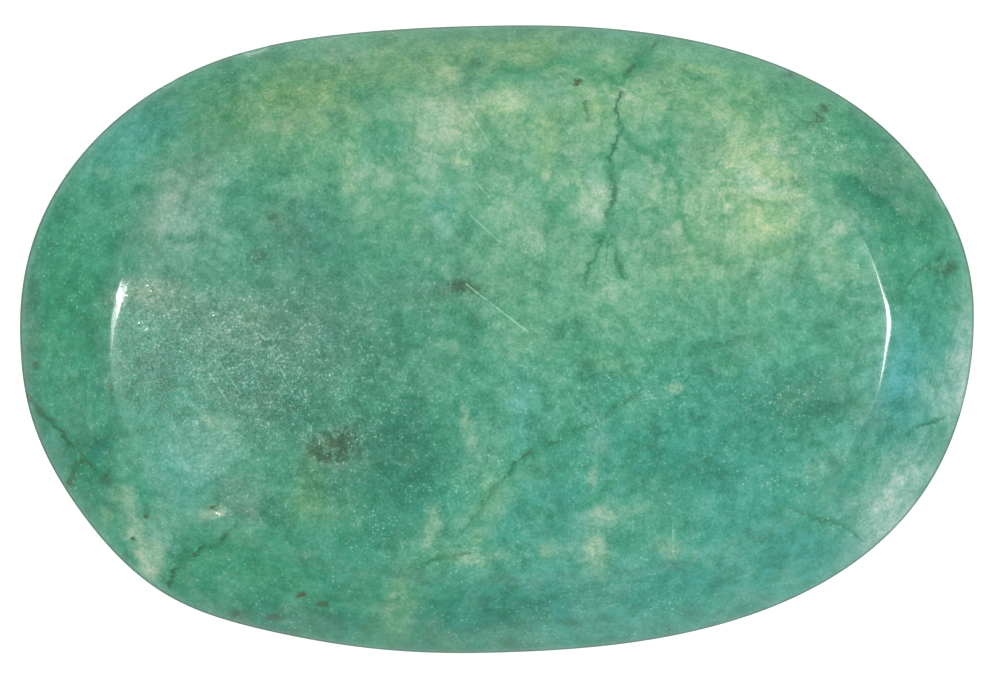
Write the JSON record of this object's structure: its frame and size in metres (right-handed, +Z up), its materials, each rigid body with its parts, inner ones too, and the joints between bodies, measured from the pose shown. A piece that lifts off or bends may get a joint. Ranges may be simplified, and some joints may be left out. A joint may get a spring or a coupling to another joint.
{
  "type": "polished oval emerald",
  "caption": "Flat oval green gemstone with a low domed table, a bevelled crown, a narrow girdle and a rounded underside that ends in a flat foot.",
  "frame": {"origin": "middle of the foot that the stone rests on", "axes": "+X along the oval's length, +Y across it, +Z up out of the table"},
  "size_m": [0.0719, 0.0473, 0.016],
  "materials": {
    "polished_beryl": "gloss"
  },
  "bodies": {
    "root": {"emerald": "polished_beryl"}
  },
  "joints": []
}
